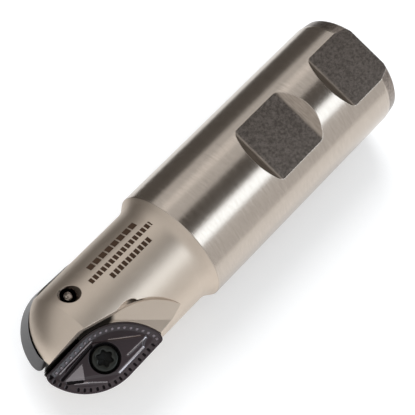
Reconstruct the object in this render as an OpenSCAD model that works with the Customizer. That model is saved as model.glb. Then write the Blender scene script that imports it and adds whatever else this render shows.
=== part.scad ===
// Indexable ball nose end mill: a one-piece steel cutter body on a two-flat side-lock shank,
// with two leaf-shaped carbide inserts held by countersunk six-lobe screws.
//
// Frame, in millimetres: the tool axis is +X towards the cutting end, the origin is on the axis
// where the shank ends at the shoulder, and +Z is the outward normal of the two clamping flats.
// Lengths are measured from the rear face, and framed() moves each piece into the frame.
// Insert 1 lies on the +Y side with its rake face up. Everything at the head is drawn once for
// insert 1 and turned half a turn about the tool axis for insert 2.

/* [Shank] */
// Diameter of the ground shank
shank_d = 25.4; // [22:0.1:32]
// Length of the shank, from the rear face to the shoulder
shank_l = 56.4; // [50:0.1:80]
// Length of the slightly tapered lead-in at the rear
lead_l = 3.2; // [2:0.1:5]
// How much smaller the lead-in's radius is at the rear
lead_drop = 0.45; // [0.1:0.05:1]
// Size of the chamfer on the rear edge
rear_chamfer = 0.5; // [0.2:0.1:1.5]

/* [Clamping flats] */
// Depth of the flats below the shank's surface
flat_depth = 1.9; // [1.2:0.1:3]
// Distance from the rear face to the middle flat
mid_flat_x = 21.8; // [18:0.1:26]
// Length of the middle flat
mid_flat_l = 12.5; // [8:0.1:16]
// Length of the flat that runs out through the rear face
end_flat_l = 11.7; // [8:0.1:14]
// Slope of the flats' end walls, from the flat
flat_wall_angle = 39; // [30:1:60]
// Radius between a flat and its end walls
flat_fillet_r = 2.4; // [0.5:0.1:4]

/* [Neck] */
// Diameter of the neck
neck_d = 22.5; // [18:0.1:24]
// Slope of the shoulder between the shank and the neck, from the axis
shoulder_angle = 35; // [25:1:50]
// Radius that blends the shoulder into the neck
shoulder_blend_r = 4; // [1:0.5:6]

/* [Head] */
// Overall length, from the rear face to the inserts' tips
total_l = 93; // [90:0.1:110]
// Cutting diameter, twice the radius of the ball that the inserts cut
cut_d = 24; // [23.8:0.1:25]
// How far the body's round nose is set back from the inserts' tips
nose_setback = 0.85; // [0.6:0.05:1.5]
// How much smaller the radius of the body's nose is than the ball's
nose_gap = 0.15; // [0.1:0.05:0.4]

/* [Inserts] */
// Thickness of an insert
insert_t = 3.8; // [3.2:0.1:4.2]
// Tilt of the inserts, which turns their rake faces towards the tip
insert_tilt = 10; // [8:0.5:11]
// Roll of the inserts, which raises their outer edges
insert_roll = 3.5; // [2:0.5:5]
// Run of the cutting edge between an insert's middle and the widest point of the ball
edge_run = 1; // [0.6:0.1:1.4]
// Distance between the tool axis and the inner edge of an insert
tip_web = 0.5; // [0.4:0.05:0.7]
// Relief angle of an insert's flanks
relief_angle = 9; // [6:0.5:11]
// Back taper of an insert's straight edge
edge_taper = 1; // [0.6:0.1:1.4]
// How much each sharp corner is cut back
corner_trim = 0.85; // [0.7:0.05:1.1]
// Gap between an insert's round flank and the pocket's wall
wall_gap = 0.15; // [0.1:0.01:0.25]
// Width of the slot between an insert's straight inner edge and the pocket's wall
side_gap = 0.65; // [0.5:0.05:0.8]
// Gap under an insert, between it and its seat
seat_gap = 0.02; // [0.01:0.01:0.1]

/* [Insert screws] */
// Diameter of the screw's thread
screw_d = 3.9; // [3:0.1:4.5]
// Radial clearance of the thread in its tapped hole
thread_gap = 0.05; // [0.02:0.01:0.1]
// Diameter of the screw's head
head_d = 5.4; // [5:0.1:6.2]
// Length of the screw, from the head's top to the end
screw_l = 9.8; // [9:0.1:10.4]
// How far the head's top lies below the rake face
head_sink = 0.5; // [0.3:0.05:0.8]
// Height of the straight part of the head
head_straight = 1; // [0.8:0.1:1.5]
// Half of the angle of the head's cone
head_cone_angle = 30; // [25:1:45]
// Gap between the head's cone and the insert's countersink
head_gap = 0.04; // [0.02:0.01:0.1]
// Diameter of the counterbore around the head
counterbore_d = 6.2; // [6:0.1:7]
// Diameter of the hole through the insert
insert_hole_d = 4.5; // [4.2:0.1:5]
// Size across the lobes of the driver socket
socket_d = 3.3; // [2.5:0.1:3.6]
// Depth of the driver socket
socket_depth = 1.5; // [1:0.1:2]

/* [Gullets] */
// Radius of the mill that sinks the gullet, and so of its round rear wall
gullet_r = 12.7; // [11.5:0.1:13.5]
// Direction in which the mill leaves the gullet, which is also the side wall's
gullet_path = 16; // [12:0.5:20]
// Distance from an insert's middle back to the centre of the gullet's round wall
gullet_back = 5.6; // [5:0.1:6.2]
// Distance from an insert's middle out to the centre of the gullet's round wall
gullet_out = 8.15; // [7.8:0.05:8.6]
// Slope of the gullet's floor
floor_slope = 26.5; // [24:0.5:30]
// Direction towards which the gullet's floor falls, from +X towards +Y
floor_turn = 24; // [20:1:28]
// Height of the floor's front end, at the rear of an insert
floor_z = 3.7; // [3.5:0.05:4]

/* [Coolant] */
// Diameter of the bore from the rear face
coolant_d = 6; // [4:0.5:8]
// Depth of the coolant bore
coolant_l = 62; // [50:1:64]
// Diameter of each outlet
outlet_d = 2.8; // [2.2:0.1:3.2]

/* [Hidden] */
$fn = 96;

shank_r = shank_d / 2;
neck_r = neck_d / 2;
cut_r = cut_d / 2;
seam_turn = 36;                             // turns the blank's seam about the tool axis
skin = 0.03;                                // keeps two cuts from ending in one plane
over = 2;                                   // how far a cutting solid reaches past what it cuts
far = shank_d;                              // a length that reaches clear of the body

// Shank and shoulder
flat_z = shank_r - flat_depth;
fillet_run = flat_fillet_r * tan(flat_wall_angle / 2);
wall_top_z = shank_r + over;
wall_run = (wall_top_z - flat_z) / tan(flat_wall_angle);
shoulder_l = (shank_r - neck_r) / tan(shoulder_angle);
blend_run = shoulder_blend_r * tan(shoulder_angle / 2);

// Head
nose_r = cut_r - nose_gap;
nose_x = total_l - cut_r - nose_setback;    // centre of the body's own round nose

// Insert, in its own frame: the tip is the origin, -X runs back along the rake face, whose
// plane is Z = 0. The ball that the edge cuts meets that plane in a circle.
plane_r = cut_r * cos(insert_tilt);
mid_x = edge_run - plane_r;                 // middle of an insert, where its screw goes in
mid_y = (plane_r + tip_web) / 2;
corner_reach = norm([mid_x, mid_y]) - corner_trim;
seat_z = -insert_t - seat_gap;
inner_wall_y = tip_web - side_gap;

// Screw, measured down its own axis from the rake face
hole_r = screw_d / 2 + thread_gap;
cone_slope = tan(head_cone_angle);
cone_top = head_sink + head_straight;
cone_l = (head_d - screw_d) / 2 / cone_slope;
counterbore_depth = cone_top - (counterbore_d - head_d - 2 * head_gap) / 2 / cone_slope;
countersink_l = (counterbore_d - insert_hole_d) / 2 / cone_slope;
lobe_r = socket_d / 8;

// Gullet, in the tilted frame, and the floor's front end from the rear face. The side wall meets
// the round wall at a faint crease, a little inside the line that would touch it.
side_wall_in = 0.1;
gullet_x = mid_x - gullet_back;
gullet_y = mid_y + gullet_out;
floor_at = [total_l + mid_x - 10.2, mid_y + 2.6, floor_z];

// Outlet, from the coolant bore out through the corner of the gullet
outlet_start = [coolant_l - 8, 0, 0];
outlet_end = [total_l + mid_x - 3.5, mid_y - 3, 12.3];

// A cylinder between two points
module rod(from, to, r) {
    run = to - from;
    translate(from)
        rotate([0, acos(run.z / norm(run)), atan2(run.y, run.x)])
            cylinder(r = r, h = norm(run));
}

// ---- Shank, shoulder and nose, before any cut ----

// The concave blend between the shoulder's cone and the neck
module shoulder_blend() {
    corner = [neck_r, shank_l + shoulder_l];
    on_cone = corner + blend_run * [sin(shoulder_angle), -cos(shoulder_angle)];
    on_neck = corner + [0, blend_run];
    centre = on_neck + [shoulder_blend_r, 0];
    difference() {
        polygon([corner, on_cone, centre, on_neck]);
        translate(centre)
            circle(r = shoulder_blend_r);
    }
}

// The body's round nose, cut from a disc no wider than the neck
module nose() {
    intersection() {
        translate([0, nose_x])
            circle(r = nose_r);
        translate([0, nose_x])
            square([neck_r, nose_r]);
    }
}

// The turned blank: radius across, distance from the rear face upwards, spun about the tool axis.
// Its seam lies beside the flats.
module blank() {
    lead_r = shank_r - lead_drop;
    rotate([0, 90, 0])
        rotate([0, 0, seam_turn])
        rotate_extrude() {
            polygon([
                [0, 0],
                [lead_r - rear_chamfer, 0],
                [lead_r, rear_chamfer],
                [shank_r, lead_l],
                [shank_r, shank_l],
                [neck_r, shank_l + shoulder_l],
                [neck_r, nose_x],
                [0, nose_x]
            ]);
            shoulder_blend();
            nose();
        }
}

// ---- Clamping flats ----

// What the mill removes for a flat from x0 to x1, with sloped end walls and round feet
module flat_cut(x0, x1) {
    slope = [cos(flat_wall_angle), sin(flat_wall_angle)];
    rotate([90, 0, 0])
        linear_extrude(height = 2 * shank_r, center = true) {
            polygon([
                [x0 + fillet_run, flat_z],
                [x1 - fillet_run, flat_z],
                [x1, flat_z] + fillet_run * slope,
                [x1 + wall_run, wall_top_z],
                [x0 - wall_run, wall_top_z],
                [x0 - fillet_run * slope.x, flat_z + fillet_run * slope.y]
            ]);
            for (x = [x0 + fillet_run, x1 - fillet_run])
                translate([x, flat_z + flat_fillet_r])
                    circle(r = flat_fillet_r);
        }
}

// ---- Places at the head ----

// Places its children at the tip, tilted back with the insert
module tilted() {
    translate([total_l, 0, 0])
        rotate([0, insert_tilt, 0])
            children();
}

// Places its children in the insert's own frame
module on_insert() {
    tilted()
        rotate([insert_roll, 0, 0])
            children();
}

// Places its children on the screw's axis, in the insert's frame
module on_screw_axis() {
    translate([mid_x, mid_y, 0])
        children();
}

// Turns half a turn about the tool axis for insert 2
module side(n) {
    rotate([180 * (n - 1), 0, 0])
        children();
}

// Moves a piece into the frame, whose origin is at the shank's front end
module framed() {
    translate([-shank_l, 0, 0])
        children();
}

// ---- The outline that inserts and pockets share, in the insert's frame ----

// Everything inside the cutting edge: a cone for the ball, and a slanted block behind it.
// round_gap and side widen the outline, and the flanks lean by the relief angle from z0 to z1.
module edge_bound(round_gap, side, z0, z1, lean) {
    r = plane_r + round_gap;
    translate([-plane_r, 0, z0])
        cylinder(r1 = r + z0 * tan(lean), r2 = r + z1 * tan(lean), h = z1 - z0);
    intersection() {
        translate([-plane_r, plane_r + side, 0])
            rotate([0, 0, edge_taper])
                rotate([-lean, 0, 0])
                    translate([-2 * far, -2 * far, -2 * far])
                        cube([2 * far, 2 * far, 4 * far]);
        translate([-plane_r - far, -far, z0])
            cube([2 * far, 3 * far, z1 - z0]);
    }
}

// The same outline from the insert's other side: it looks the same after half a turn
module inner_bound(round_gap, side, z0, z1, lean) {
    translate([mid_x, mid_y, 0])
        rotate([0, 0, 180])
            translate([-mid_x, -mid_y, 0])
                edge_bound(round_gap, side, z0, z1, lean);
}

// ---- Cuts at the head, for insert 1 ----

module pocket_cut() {
    on_insert() {
        inner_bound(wall_gap, side_gap, seat_z, 0, relief_angle);
        translate([0, 0, -skin / 2])
            inner_bound(wall_gap, side_gap, 0, far, 0);
    }
}

// What the gullet's mill sweeps as it moves out past the tip, seen along its axis
module mill_path() {
    circle(r = gullet_r);
    rotate(-gullet_path)
        translate([0, side_wall_in - gullet_r])
            square([2 * far, 2 * far]);
}

// The gullet above and behind the insert: a mill's round path down to a sloped floor. It stays
// above the rake face, and outside the wall that stands along the insert's inner edge.
module gullet_cut() {
    intersection() {
        tilted()
            translate([gullet_x, gullet_y, -far])
                linear_extrude(height = 3 * far)
                    mill_path();
        translate(floor_at)
            rotate([0, floor_slope, floor_turn])
                translate([-2 * far, -2 * far, 0])
                    cube([4 * far, 4 * far, 2 * far]);
        on_insert()
            translate([-3 * far, inner_wall_y + skin, skin])
                cube([6 * far, 3 * far, 3 * far]);
    }
}

module coolant_outlet_cut() {
    rod(outlet_start, outlet_end, outlet_d / 2);
}

module tapped_hole_cut() {
    on_insert()
        on_screw_axis()
            translate([0, 0, -far])
                cylinder(r = hole_r, h = far);
}

// ---- Pieces ----

module cutter_body() {
    color([0.66, 0.62, 0.57])
        framed()
            difference() {
                blank();
                flat_cut(mid_flat_x, mid_flat_x + mid_flat_l);
                flat_cut(-2 * over - wall_run, end_flat_l);
                for (n = [1, 2])
                    side(n) {
                        pocket_cut();
                        gullet_cut();
                        coolant_outlet_cut();
                        tapped_hole_cut();
                    }
                translate([-over, 0, 0])
                    rotate([0, 90, 0])
                        cylinder(d = coolant_d, h = coolant_l + over);
                translate([coolant_l, 0, 0])
                    rotate([0, 90, 0])
                        cylinder(d1 = coolant_d, d2 = 0, h = coolant_d / 4);
            }
}

module insert() {
    color([0.16, 0.13, 0.15])
        on_insert()
            difference() {
                intersection() {
                    edge_bound(0, 0, -insert_t, 0, relief_angle);
                    inner_bound(0, 0, -insert_t, 0, relief_angle);
                    on_screw_axis()
                        translate([0, 0, -insert_t])
                            cylinder(r = corner_reach, h = insert_t);
                }
                on_screw_axis() {
                    translate([0, 0, -far])
                        cylinder(d = insert_hole_d, h = 2 * far);
                    translate([0, 0, -counterbore_depth])
                        cylinder(d = counterbore_d, h = far);
                    translate([0, 0, -counterbore_depth - countersink_l])
                        cylinder(d1 = insert_hole_d, d2 = counterbore_d, h = countersink_l);
                }
            }
}

module driver_socket() {
    translate([0, 0, -head_sink - socket_depth]) {
        cylinder(r = socket_d / 2 - lobe_r, h = socket_depth + over);
        for (turn = [0 : 60 : 300])
            rotate([0, 0, turn])
                translate([socket_d / 2 - lobe_r, 0, 0])
                    cylinder(r = lobe_r, h = socket_depth + over);
    }
}

module insert_screw() {
    color([0.2, 0.2, 0.2])
        on_insert() on_screw_axis()
            difference() {
                union() {
                    translate([0, 0, -cone_top])
                        cylinder(d = head_d, h = head_straight);
                    translate([0, 0, -cone_top - cone_l])
                        cylinder(d1 = screw_d, d2 = head_d, h = cone_l);
                    translate([0, 0, -head_sink - screw_l])
                        cylinder(d = screw_d, h = screw_l - head_straight);
                }
                driver_socket();
            }
}

module insert_1() { framed() side(1) insert(); }
module insert_2() { framed() side(2) insert(); }
module insert_screw_1() { framed() side(1) insert_screw(); }
module insert_screw_2() { framed() side(2) insert_screw(); }

cutter_body();
insert_1();
insert_2();
insert_screw_1();
insert_screw_2();
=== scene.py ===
"""Ball nose end mill on a white table: looks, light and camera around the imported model."""
import math

import bpy
from mathutils import Matrix, Vector


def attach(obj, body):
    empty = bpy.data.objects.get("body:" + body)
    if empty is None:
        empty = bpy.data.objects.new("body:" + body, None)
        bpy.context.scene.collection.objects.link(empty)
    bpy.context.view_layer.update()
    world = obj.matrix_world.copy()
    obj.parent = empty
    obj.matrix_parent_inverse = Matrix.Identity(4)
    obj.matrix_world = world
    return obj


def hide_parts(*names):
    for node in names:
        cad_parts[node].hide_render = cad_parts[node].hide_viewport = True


MM = 0.001
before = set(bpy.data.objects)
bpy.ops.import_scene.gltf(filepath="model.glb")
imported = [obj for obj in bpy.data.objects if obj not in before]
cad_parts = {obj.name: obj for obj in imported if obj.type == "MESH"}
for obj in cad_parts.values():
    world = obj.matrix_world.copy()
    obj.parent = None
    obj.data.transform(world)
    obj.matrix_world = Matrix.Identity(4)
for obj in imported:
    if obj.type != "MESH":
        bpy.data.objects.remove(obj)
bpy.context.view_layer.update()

# ---- Camera ----

CAMERA_AT = Vector((120.37, 5.61, 313.91)) * MM
LOOK_AT = Vector((-11.43, -0.20, 0)) * MM
PICTURE_UP = Vector((-0.6534, -0.7004, 0.2873))
LENS_MM = 149.65
SENSOR_MM = 36

# ---- Sizes, in millimetres and degrees unless they are counts or shares ----

SHANK_R = 12.7
NECK_R = 11.25
MARK_OUT = 0.012
MARK_STEPS = 6
FLOOR_SIDE = 4000

# An insert's own frame: the tip is the origin, -X runs back along the rake face, +Z out of it.
TIP_X = 36.6
TILT = 10
ROLL = 3.5
EDGE_R = 12 * math.cos(math.radians(TILT))
MIDDLE = (1 - EDGE_R, (EDGE_R + 0.5) / 2)
EDGE_TAPER = math.tan(math.radians(1))
RELIEF = math.tan(math.radians(9))
INSERT_T = 3.8
CORNER_SLOPE = -0.53
CORNER_REACH = math.hypot(*MIDDLE) - 0.85
EDGE_ROUND = 0.5
CORNER_ROUND = 0.6
COUNTERBORE = (3.1, 0.876)
COUNTERSINK_Z = 2.348
HOLE_R = 2.25

# The chip breaker on the rake face
EDGE_HONE = 0.03
EDGE_DROP = 0.04
LAND = 0.28
BREAKER_RUN = 1.3
BREAKER_DEPTH = 0.34
ISLAND_Z = -0.06
ISLAND_RAMP = 0.45
RIDGE_H = 0.1
RIDGE_R = 0.22
# Share of a ridge's width that carries the painted highlight
RIDGE_HIGHLIGHT_SHARE = 0.75
PIP_PITCH = 1.29
PIP_INSET = 1.0
PIP_R = 0.3
# Share of a pip's width that carries the painted glint
PIP_GLINT_SHARE = 0.8
PIP_H = 0.16
NOTCH_INSET = 0.72
NOTCH_L = 0.36
NOTCH_R = 0.24
NOTCH_DEPTH = 0.24
CHANNEL_R = 0.3
CHANNEL_DEPTH = 0.25
DIMPLE_PITCH = 0.45
DIMPLE_DEPTH = 0.03

# Places of the materials on an insert, as make_insert_materials lists them
# The second material is a painted highlight on the ridges and wear on the cutting edge, the fourth
# painted shade in the notches, channels and holes, the fifth a painted glint on the pips
COATING, HIGHLIGHT_AND_WEAR, FACE, PAINTED_SHADE, PAINTED_GLINT, FLANK = range(6)

# How finely the meshes are drawn
AROUND = 600
ACROSS = 72
SCREW_AROUND = 180
SEARCH_FROM = 3.2
SEARCH_TO = 13.5
HALVINGS = 26

# Screw; its rings from SOCKET_FROM on are the socket, painted near black as shade, and those before
# HEAD_FROM the end and thread
SOCKET_FROM = 14
HEAD_FROM = 4
HEAD_R = 2.7
HEAD_TOP = -0.5
SCREW_R = 1.95
SCREW_END = -10.3
SOCKET_R = 1.42
LOBE = 0.23
SOCKET_DEPTH = 1.45


# ---- Small tools ----

def add_object(name, data):
    made = bpy.data.objects.new(name, data)
    bpy.context.scene.collection.objects.link(made)
    return made


def principled(name, **values):
    """A new material and its Principled shader, with constant values on the shader's own sockets."""
    material = bpy.data.materials.new(name)
    material.use_nodes = True
    shader = material.node_tree.nodes["Principled BSDF"]
    for socket, value in values.items():
        shader.inputs[socket.replace("_", " ")].default_value = value
    return material, shader


def wear(node, material):
    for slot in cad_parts[node].material_slots:
        slot.material = material


def smooth(value, low, high):
    """0 below low, 1 above high, and a soft step between them."""
    t = min(max((value - low) / (high - low), 0), 1)
    return t * t * (3 - 2 * t)


def ring_mesh(name, rings, materials, paint):
    """A skin through closed rings of points, one after another, in millimetres.

    paint(ring number, place in the ring) gives a face's material number."""
    count = len(rings[0])
    points = [Vector(p) for ring in rings for p in ring]
    faces = []
    numbers = []
    for k in range(len(rings) - 1):
        for i in range(count):
            j = (i + 1) % count
            faces.append((k * count + i, k * count + j, (k + 1) * count + j, (k + 1) * count + i))
            numbers.append(paint(k, i))
    mesh = bpy.data.meshes.new(name)
    mesh.from_pydata([p * MM for p in points], [], faces)
    for material in materials:
        mesh.materials.append(material)
    mesh.polygons.foreach_set("material_index", numbers)
    mesh.polygons.foreach_set("use_smooth", [True] * len(faces))
    mesh.update()
    return mesh


# ---- Camera, table and light ----

def make_camera():
    back = (CAMERA_AT - LOOK_AT).normalized()
    right = PICTURE_UP.cross(back).normalized()
    up = back.cross(right)
    data = bpy.data.cameras.new("camera")
    data.lens = LENS_MM
    data.sensor_width = SENSOR_MM
    data.clip_start = 0.01
    data.clip_end = 10
    camera = bpy.data.objects.new("camera", data)
    camera.matrix_world = Matrix.Translation(CAMERA_AT) @ Matrix((right, up, back)).transposed().to_4x4()
    bpy.context.scene.collection.objects.link(camera)
    bpy.context.scene.camera = camera


def card(name, direction, distance, size, material, along=(1, 0, 0)):
    """A flat rectangle that faces the tool from a direction; size is along a line and across it."""
    towards = Vector(direction).normalized()
    first = (Vector(along) - Vector(along).dot(towards) * towards).normalized()
    second = towards.cross(first)
    centre = towards * distance
    corners = []
    for a, b in ((-1, -1), (1, -1), (1, 1), (-1, 1)):
        corners.append((centre + a * size[0] / 2 * first + b * size[1] / 2 * second) * MM)
    mesh = bpy.data.meshes.new(name)
    mesh.from_pydata(corners, [], [(0, 1, 2, 3)])
    mesh.materials.append(material)
    made = add_object(name, mesh)
    return made


def reflected_only(thing):
    """Only mirror reflections see this card: it casts no shadow and is not in the picture."""
    thing.visible_camera = False
    thing.visible_diffuse = False
    thing.visible_shadow = False
    thing.visible_transmission = False


def make_light(name, kind, direction, energy, colour=(1, 1, 1), **settings):
    data = bpy.data.lights.new(name, kind)
    data.energy = energy
    data.color = colour
    for key, value in settings.items():
        setattr(data, key, value)
    lamp = add_object(name, data)
    towards = Vector(direction).normalized()
    lamp.location = towards * 0.5
    lamp.rotation_mode = "QUATERNION"
    lamp.rotation_quaternion = towards.to_track_quat("Z", "Y")
    return lamp


def make_studio():
    floor_white, _ = principled(
        "floor_white",
        Base_Color=(0.86, 0.87, 0.88, 1),
        Roughness=0.9,
        Specular_IOR_Level=0.1,
        Emission_Color=(1, 1, 1, 1),
        Emission_Strength=0.22,
    )
    card("floor", (0, 0, -1), SHANK_R, (FLOOR_SIDE, FLOOR_SIDE), floor_white)

    dark, _ = principled(
        "dark_card", Base_Color=(0, 0, 0, 1), Roughness=1, Specular_IOR_Level=0,
        Emission_Color=(1, 0.94, 0.88, 1), Emission_Strength=0.13,
    )
    overhead = card("overhead_card", (-0.387, -0.068, 0.92), 400, (520, 215), dark)
    left_wall = card("left_wall_card", (0, -1, 0), 95, (500, 44), dark)
    left_floor = card("left_floor_card", (0, 0, -1), SHANK_R - 0.5, (500, 68), dark)
    left_floor.location.y = -61 * MM
    rear_wall = card("rear_wall_card", (-1, 0, 0), 130, (120, 90), dark, along=(0, 1, 0))
    for darkening in (overhead, left_wall, left_floor, rear_wall):
        reflected_only(darkening)

    white, _ = principled(
        "white_card", Base_Color=(0, 0, 0, 1), Roughness=1, Specular_IOR_Level=0,
        Emission_Color=(0.86, 0.97, 1.08, 1), Emission_Strength=2.6,
    )
    strip = card("strip_card", (-0.387, 0.43, 0.81), 500, (620, 190), white)
    reflected_only(strip)
    soft, _ = principled(
        "soft_card", Base_Color=(0, 0, 0, 1), Roughness=1, Specular_IOR_Level=0,
        Emission_Color=(1, 1, 1, 1), Emission_Strength=1.15,
    )
    left = card("left_card", (-0.387, -0.75, 0.55), 500, (620, 110), soft)
    reflected_only(left)

    key = make_light("key", "SUN", (-0.2, -0.62, 0.75), 1.5, angle=math.radians(34))
    key.visible_glossy = False

    world = bpy.data.worlds.new("studio")
    world.use_nodes = True
    world.node_tree.nodes["Background"].inputs["Color"].default_value = (0.98, 0.99, 1, 1)
    world.node_tree.nodes["Background"].inputs["Strength"].default_value = 0.8
    bpy.context.scene.world = world
    bpy.context.scene.view_settings.view_transform = "Standard"


# ---- Steel of the cutter body ----

class Nodes:
    """Short ways to build a node tree for a Principled shader."""

    def __init__(self, material):
        self.tree = material.node_tree
        position = self.tree.nodes.new("ShaderNodeTexCoord").outputs["Object"]
        self.position = position
        split = self.tree.nodes.new("ShaderNodeSeparateXYZ")
        self.tree.links.new(position, split.inputs[0])
        self.x, self.y, self.z = split.outputs

    def math(self, operation, *values):
        made = self.tree.nodes.new("ShaderNodeMath")
        made.operation = operation
        for socket, value in zip(made.inputs, values):
            if isinstance(value, (int, float)):
                socket.default_value = value
            else:
                self.tree.links.new(value, socket)
        return made.outputs[0]

    def above(self, value, limit, run):
        """0 below a limit and 1 above it, with a soft step of that run."""
        made = self.tree.nodes.new("ShaderNodeMapRange")
        made.interpolation_type = "SMOOTHSTEP"
        self.tree.links.new(value, made.inputs["Value"])
        made.inputs["From Min"].default_value = limit - run / 2
        made.inputs["From Max"].default_value = limit + run / 2
        return made.outputs["Result"]

    def ramp(self, value, low, high):
        """Maps 0 and 1 to two numbers."""
        made = self.tree.nodes.new("ShaderNodeMapRange")
        self.tree.links.new(value, made.inputs["Value"])
        made.inputs["To Min"].default_value = low
        made.inputs["To Max"].default_value = high
        return made.outputs["Result"]

    def noise(self, stretch, detail=3, roughness=0.6):
        """Noise over the object's position, in cycles per metre along each axis."""
        scaled = self.tree.nodes.new("ShaderNodeMapping")
        scaled.inputs["Scale"].default_value = stretch
        self.tree.links.new(self.position, scaled.inputs["Vector"])
        made = self.tree.nodes.new("ShaderNodeTexNoise")
        made.inputs["Scale"].default_value = 1
        made.inputs["Detail"].default_value = detail
        made.inputs["Roughness"].default_value = roughness
        self.tree.links.new(scaled.outputs[0], made.inputs["Vector"])
        return made.outputs["Fac"]

    def mix(self, factor, first, second):
        """A colour between two, each a fixed colour or a link."""
        made = self.tree.nodes.new("ShaderNodeMix")
        made.data_type = "RGBA"
        self.tree.links.new(factor, made.inputs[0])
        for socket, value in ((made.inputs[6], first), (made.inputs[7], second)):
            if isinstance(value, tuple):
                socket.default_value = value
            else:
                self.tree.links.new(value, socket)
        return made.outputs[2]

    def blend(self, factor, first, second):
        """A number between two, each a fixed number or a link."""
        made = self.tree.nodes.new("ShaderNodeMix")
        made.data_type = "FLOAT"
        self.tree.links.new(factor, made.inputs[0])
        for socket, value in ((made.inputs[2], first), (made.inputs[3], second)):
            if isinstance(value, (int, float)):
                socket.default_value = value
            else:
                self.tree.links.new(value, socket)
        return made.outputs[0]

    def bump(self, height, strength, distance, normal):
        made = self.tree.nodes.new("ShaderNodeBump")
        made.inputs["Distance"].default_value = distance
        self.tree.links.new(height, made.inputs["Height"])
        self.tree.links.new(normal, made.inputs["Normal"])
        if isinstance(strength, (int, float)):
            made.inputs["Strength"].default_value = strength
        else:
            self.tree.links.new(strength, made.inputs["Strength"])
        return made.outputs[0]


def make_body_steel():
    material, shader = principled("cutter_steel", Metallic=1.0)
    n = Nodes(material)
    link = material.node_tree.links.new

    # Where each finish lies: forward of the shank, on the ground surface, on a flat; near the axis the
    # bore gets painted shade
    radius = n.math("SQRT", n.math("ADD", n.math("MULTIPLY", n.y, n.y), n.math("MULTIPLY", n.z, n.z)))
    forward = n.above(n.x, 0.0001, 0.0002)
    outside = n.above(radius, 0.01262, 0.00008)
    milled = n.math("MULTIPLY", n.math("SUBTRACT", 1, forward), n.math("SUBTRACT", 1, outside))
    on_flat = n.math("MULTIPLY", milled, n.math("SUBTRACT", 1, n.above(n.z, 0.0109, 0.0001)))
    bore_painted_shade = n.math("SUBTRACT", 1, n.above(radius, 0.0038, 0.0006))

    rings = n.noise((4200, 420, 420), 3)
    fine = n.noise((1500, 1500, 1500), 2)
    broad = n.noise((220, 260, 260), 4, 0.65)
    mottle = n.noise((1900, 1900, 1900), 4, 0.75)

    bright = n.mix(rings, (0.40, 0.345, 0.295, 1), (0.56, 0.49, 0.425, 1))
    satin = n.mix(broad, (0.55, 0.465, 0.385, 1), (0.62, 0.53, 0.445, 1))
    charcoal = n.mix(n.above(mottle, 0.5, 0.35), (0.17, 0.142, 0.122, 1), (0.33, 0.28, 0.245, 1))
    walls = n.mix(rings, (0.20, 0.165, 0.135, 1), (0.52, 0.44, 0.37, 1))
    colour = n.mix(forward, bright, satin)
    colour = n.mix(milled, colour, walls)
    colour = n.mix(on_flat, colour, charcoal)
    # Painted shade: the bore near the axis is coloured near black.
    colour = n.mix(bore_painted_shade, colour, (0.02, 0.017, 0.014, 1))
    link(colour, shader.inputs["Base Color"])

    rough = n.blend(forward, n.ramp(rings, 0.17, 0.27), n.ramp(broad, 0.42, 0.48))
    rough = n.blend(milled, rough, n.ramp(mottle, 0.26, 0.4))
    link(rough, shader.inputs["Roughness"])

    rounded = material.node_tree.nodes.new("ShaderNodeBevel")
    rounded.samples = 8
    rounded.inputs["Radius"].default_value = 0.00018
    ground = n.bump(rings, n.blend(forward, 0.45, 0.0), 0.00002, rounded.outputs[0])
    grain = n.bump(fine, 0.12, 0.00003, ground)
    link(grain, shader.inputs["Normal"])
    return material


def make_marks():
    """Rows of plain blocks burnt into the neck."""
    burnt, _ = principled(
        "burnt_mark", Base_Color=(0.04, 0.023, 0.014, 1), Roughness=0.9, Specular_IOR_Level=0.1,
    )
    # Angle from +Z, start, end, height in degrees, length of a block, gap
    rows = (
        (-43, 4.9, 17.8, 7.6, 1.35, 0.3),
        (-30, 2.6, 19.6, 6.2, 0.8, 0.3),
        (-18.5, 5.8, 16.5, 6.2, 0.8, 0.3),
    )
    radius = NECK_R + MARK_OUT
    steps = MARK_STEPS
    points = []
    faces = []
    for angle, start, end, height, block, gap in rows:
        count = round((end - start + gap) / (block + gap))
        for b in range(count):
            x0 = start + b * (block + gap)
            first = len(points)
            for s in range(steps + 1):
                a = math.radians(angle - height / 2 + height * s / steps)
                for x in (x0, x0 + block):
                    points.append((x * MM, radius * math.sin(a) * MM, radius * math.cos(a) * MM))
            for s in range(steps):
                k = first + 2 * s
                faces.append((k, k + 1, k + 3, k + 2))
    mesh = bpy.data.meshes.new("neck_marks")
    mesh.from_pydata(points, [], faces)
    mesh.materials.append(burnt)
    marks = add_object("neck_marks", mesh)
    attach(marks, "cutter_body")


# ---- Inserts ----

def edge_depth(x, y):
    """How far a point lies inside the cutting edge, round the ball and along the straight."""
    if x > -EDGE_R:
        return EDGE_R - math.hypot(x + EDGE_R, y)
    return EDGE_R - y + (x + EDGE_R) * EDGE_TAPER


def soft_least(a, b, run):
    """The lesser of two numbers, with a soft change from one to the other."""
    overlap = max(run - abs(a - b), 0) / run
    return min(a, b) - overlap * overlap * run / 4


def depth_inside(x, y):
    """How far a point lies inside the insert's outline, with its two sharp corners rounded."""
    outer = edge_depth(x, y)
    inner = edge_depth(2 * MIDDLE[0] - x, 2 * MIDDLE[1] - y)
    corner = CORNER_REACH - math.hypot(x - MIDDLE[0], y - MIDDLE[1])
    return soft_least(soft_least(outer, inner, EDGE_ROUND), corner, CORNER_ROUND)


def reach(turn, depth):
    """Distance from the middle to the line at a depth inside the outline, in one direction."""
    low = SEARCH_FROM
    high = SEARCH_TO
    for _ in range(HALVINGS):
        half = (low + high) / 2
        if depth_inside(MIDDLE[0] + half * math.cos(turn), MIDDLE[1] + half * math.sin(turn)) > depth:
            low = half
        else:
            high = half
    return low


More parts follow.
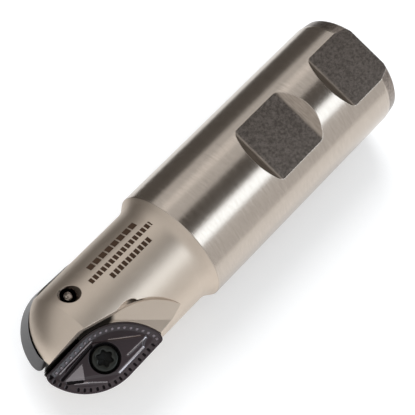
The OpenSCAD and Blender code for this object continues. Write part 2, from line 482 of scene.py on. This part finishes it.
def line_distance(x, y, start, end):
    """Distance from a point to a straight piece of line."""
    along = (end[0] - start[0], end[1] - start[1])
    t = ((x - start[0]) * along[0] + (y - start[1]) * along[1]) / (along[0] ** 2 + along[1] ** 2)
    t = min(max(t, 0), 1)
    return math.hypot(x - start[0] - t * along[0], y - start[1] - t * along[1])


def polygon_depth(x, y, corners):
    """How far a point lies inside a polygon that turns anticlockwise and bulges everywhere."""
    least = 1e9
    for k, start in enumerate(corners):
        end = corners[(k + 1) % len(corners)]
        run = math.hypot(end[0] - start[0], end[1] - start[1])
        cross = (end[0] - start[0]) * (y - start[1]) - (end[1] - start[1]) * (x - start[0])
        least = min(least, cross / run)
    return least


# The raised island round the screw and its ridges (start, end, strength), which carry a painted
# highlight, the channels beside it, painted dark as shade, and the dimpled facet near the tip, in (x, y)
# of the insert's frame
ISLAND = [(-19.3, 8.6), (-11.2, 2.5), (-4.4, 2.5), (-2.3, 3.7), (-10.4, 9.8), (-17.3, 9.8)]
RIDGES = [
    ((-17.4, 9.9), (-10.8, 10.0), 1.0),
    ((-19.2, 9.0), (-14.3, 8.8), 0.7),
    ((-7.9, 9.6), (-5.3, 7.1), 0.6),
    ((-5.3, 7.1), (-3.4, 5.5), 0.8),
    ((-11.3, 2.1), (-2.8, 2.15), 0.6),
    ((-18.7, 8.0), (-13.9, 4.2), 0.5),
]
CHANNELS = [
    ((-10.6, 2.75), (-2.3, 3.3)),
    ((-4.7, 6.2), (-2.6, 4.5)),
]
FACET = [(-7.0, 3.85), (-2.4, 3.85), (-5.2, 6.3)]


def outline_walk():
    """Points along the outline, all the way round."""
    walk = []
    for i in range(AROUND):
        turn = 2 * math.pi * i / AROUND
        r = reach(turn, 0)
        walk.append((MIDDLE[0] + r * math.cos(turn), MIDDLE[1] + r * math.sin(turn)))
    return walk


def places_along(walk, pitch, inset, wanted):
    """Evenly spaced places at an inset from the outline, with the inward direction of each."""
    places = []
    gone = 0
    for i, p in enumerate(walk):
        q = walk[(i + 1) % len(walk)]
        run = math.hypot(q[0] - p[0], q[1] - p[1])
        gone += run
        if gone < pitch:
            continue
        gone -= pitch
        inward = (-(q[1] - p[1]) / run, (q[0] - p[0]) / run)
        place = (p[0] + inset * inward[0], p[1] + inset * inward[1])
        if wanted(place):
            places.append((place, inward))
    return places


def inner_side(place):
    """True on the side of the insert that faces the tool axis."""
    return (place[1] - MIDDLE[1]) < (place[0] - MIDDLE[0]) * CORNER_SLOPE


def rake_height(x, y, pips, notches):
    """Height and material number of a point on the rake face."""
    depth = depth_inside(x, y)
    z = -BREAKER_DEPTH * smooth(depth, LAND, LAND + BREAKER_RUN)
    kind = COATING
    island = polygon_depth(x, y, ISLAND)
    lift = smooth(island, -ISLAND_RAMP / 2, ISLAND_RAMP / 2)
    z += (ISLAND_Z - z) * lift
    if polygon_depth(x, y, FACET) > 0:
        kind = FACE
        wave = math.sin(2 * math.pi * x / DIMPLE_PITCH) * math.sin(2 * math.pi * y / DIMPLE_PITCH)
        z += DIMPLE_DEPTH * (wave - 1)
    for start, end, strength in RIDGES:
        away = line_distance(x, y, start, end)
        z += RIDGE_H * strength * math.exp(-(away / RIDGE_R) ** 2)
        # Painted highlight: the middle of each ridge gets the bright material
        if away < RIDGE_R * RIDGE_HIGHLIGHT_SHARE * strength:
            kind = HIGHLIGHT_AND_WEAR
    # Painted shade: the channels, and the notches below, are coloured near black
    for start, end in CHANNELS:
        away = line_distance(x, y, start, end)
        if away < CHANNEL_R:
            z -= CHANNEL_DEPTH * (1 - (away / CHANNEL_R) ** 2)
            kind = PAINTED_SHADE
    # Painted glint: the top of each pip gets the bright material
    for (px, py), _ in pips:
        away = math.hypot(x - px, y - py)
        if away < PIP_R:
            z += PIP_H * (1 - (away / PIP_R) ** 2)
            if away < PIP_R * PIP_GLINT_SHARE:
                kind = PAINTED_GLINT
    for (px, py), inward in notches:
        start = (px - inward[0] * NOTCH_L / 2, py - inward[1] * NOTCH_L / 2)
        end = (px + inward[0] * NOTCH_L / 2, py + inward[1] * NOTCH_L / 2)
        away = line_distance(x, y, start, end)
        if away < NOTCH_R:
            z -= NOTCH_DEPTH * (1 - (away / NOTCH_R) ** 2)
            kind = PAINTED_SHADE
    return min(z, 0), kind


def insert_mesh(materials):
    walk = outline_walk()
    pips = places_along(walk, PIP_PITCH, PIP_INSET, inner_side)
    notches = places_along(walk, PIP_PITCH, NOTCH_INSET, lambda place: not inner_side(place))
    turns = [2 * math.pi * i / AROUND for i in range(AROUND)]
    outer = [reach(turn, 0) for turn in turns]
    lower = [reach(turn, INSERT_T * RELIEF) for turn in turns]

    def ring(radii, z):
        return [
            (MIDDLE[0] + r * math.cos(t), MIDDLE[1] + r * math.sin(t), z)
            for r, t in zip(radii, turns)
        ]

    def circle(radius, z):
        return ring([radius] * AROUND, z)

    bore_r, bore_depth = COUNTERBORE
    rings = [circle(HOLE_R, -INSERT_T), ring(lower, -INSERT_T), ring(lower, -INSERT_T)]
    rings += [ring(outer, -EDGE_DROP)] * 2
    top_starts = len(rings)
    kinds = []
    for k in range(ACROSS + 1):
        share = k / ACROSS
        row = []
        row_kinds = []
        for r, t in zip(outer, turns):
            edge = r - EDGE_HONE
            along = edge + (bore_r - edge) * share
            x = MIDDLE[0] + along * math.cos(t)
            y = MIDDLE[1] + along * math.sin(t)
            z, kind = rake_height(x, y, pips, notches)
            row.append((x, y, z))
            row_kinds.append(kind)
        rings.append(row)
        kinds.append(row_kinds)
    rim = len(rings) - 1
    rings.append(circle(bore_r - 0.02, -0.15))
    rings += [circle(bore_r, -bore_depth)] * 2
    rings += [circle(HOLE_R, -COUNTERSINK_Z)] * 2
    rings.append(circle(HOLE_R, -INSERT_T))

    def paint(k, i):
        if k < top_starts - 1:
            return FLANK
        # The band at the cutting edge takes the same material, as wear
        if k < top_starts:
            return HIGHLIGHT_AND_WEAR
        # Painted shade: the counterbore and the hole are coloured near black
        if k >= rim:
            return PAINTED_SHADE
        return kinds[k - top_starts][i]

    return ring_mesh("insert_form", rings, materials, paint)


def screw_mesh(materials):
    turns = [2 * math.pi * i / SCREW_AROUND for i in range(SCREW_AROUND)]

    def ring(radius, z, lobe=0.0):
        points = []
        for t in turns:
            r = radius + lobe * math.cos(6 * t)
            points.append((MIDDLE[0] + r * math.cos(t), MIDDLE[1] + r * math.sin(t), z))
        return points

    top = HEAD_TOP
    floor = top - SOCKET_DEPTH
    rings = [
        ring(0.05, SCREW_END),
        ring(SCREW_R - 0.3, SCREW_END),
        ring(SCREW_R - 0.3, SCREW_END),
        ring(SCREW_R, SCREW_END + 0.3),
        ring(SCREW_R, -2.8),
        ring(HEAD_R, -1.5),
        ring(HEAD_R, -0.98),
        ring(HEAD_R, -0.95),
        ring(HEAD_R - 0.1, top - 0.22),
        ring(HEAD_R - 0.34, top - 0.03),
        ring(HEAD_R - 0.46, top),
        ring(SOCKET_R + 0.2, top, LOBE * 0.85),
        ring(SOCKET_R + 0.14, top - 0.02, LOBE * 0.9),
        ring(SOCKET_R, top - 0.16, LOBE),
        ring(SOCKET_R, top - 0.2, LOBE),
        ring(SOCKET_R, floor, LOBE),
        ring(SOCKET_R, floor, LOBE),
        ring(0.05, floor - 0.25),
    ]

    def paint(k, i):
        # The socket takes the painted shade
        if k >= SOCKET_FROM:
            return 1
        return 2 if k < HEAD_FROM else 0

    return ring_mesh("screw_form", rings, materials, paint)


def make_insert_materials():
    coating, _ = principled(
        "coated_face", Base_Color=(0.03, 0.019, 0.023, 1), Roughness=0.3, Coat_Weight=0.25,
        Coat_Roughness=0.12,
    )
    # Painted highlight on the ridges, and wear on the cutting edge
    highlight_and_wear, _ = principled(
        "painted_highlight_and_worn_edge", Base_Color=(0.42, 0.385, 0.4, 1), Metallic=0.85, Roughness=0.25,
    )
    facet, _ = principled("dimpled_facet", Base_Color=(0.24, 0.215, 0.225, 1), Roughness=0.4)
    # Painted shade in the notches, channels and holes
    recess_shade, _ = principled(
        "notch_painted_shade", Base_Color=(0.006, 0.004, 0.005, 1), Roughness=0.6, Specular_IOR_Level=0.15,
    )
    # Painted glint on the pips
    pip_glint, _ = principled("pip_painted_glint", Base_Color=(0.24, 0.21, 0.235, 1), Metallic=0.6, Roughness=0.3)
    flank, _ = principled("ground_flank", Base_Color=(0.055, 0.05, 0.05, 1), Roughness=0.38)
    return [coating, highlight_and_wear, facet, recess_shade, pip_glint, flank]


def make_head():
    insert_materials = make_insert_materials()
    oxide, _ = principled(
        "black_oxide", Base_Color=(0.04, 0.042, 0.038, 1), Metallic=0.85, Roughness=0.33,
    )
    # Painted shade in the socket
    socket_shade, _ = principled(
        "socket_painted_shade", Base_Color=(0.006, 0.006, 0.005, 1), Roughness=0.5, Specular_IOR_Level=0.2,
    )
    tail, shader = principled("screw_end", Metallic=0.7, Roughness=0.5)
    nodes = Nodes(tail)
    spots = nodes.above(nodes.noise((1700, 1700, 1700), 3, 0.6), 0.5, 0.12)
    spotted = nodes.mix(spots, (0.05, 0.038, 0.028, 1), (0.42, 0.35, 0.29, 1))
    tail.node_tree.links.new(spotted, shader.inputs["Base Color"])
    insert_form = insert_mesh(insert_materials)
    screw_form = screw_mesh([oxide, socket_shade, tail])
    to_insert = Matrix.Translation((TIP_X * MM, 0, 0))
    to_insert @= Matrix.Rotation(math.radians(TILT), 4, "Y") @ Matrix.Rotation(math.radians(ROLL), 4, "X")
    for n in (1, 2):
        side = Matrix.Rotation(math.pi * (n - 1), 4, "X")
        for piece, form in (("insert", insert_form), ("insert_screw", screw_form)):
            made = add_object(f"{piece}_{n}_detail", form)
            made.matrix_world = side @ to_insert
            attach(made, f"{piece}_{n}")
            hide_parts(f"{piece}_{n}")


make_camera()
make_studio()
wear("cutter_body", make_body_steel())
make_marks()
make_head()
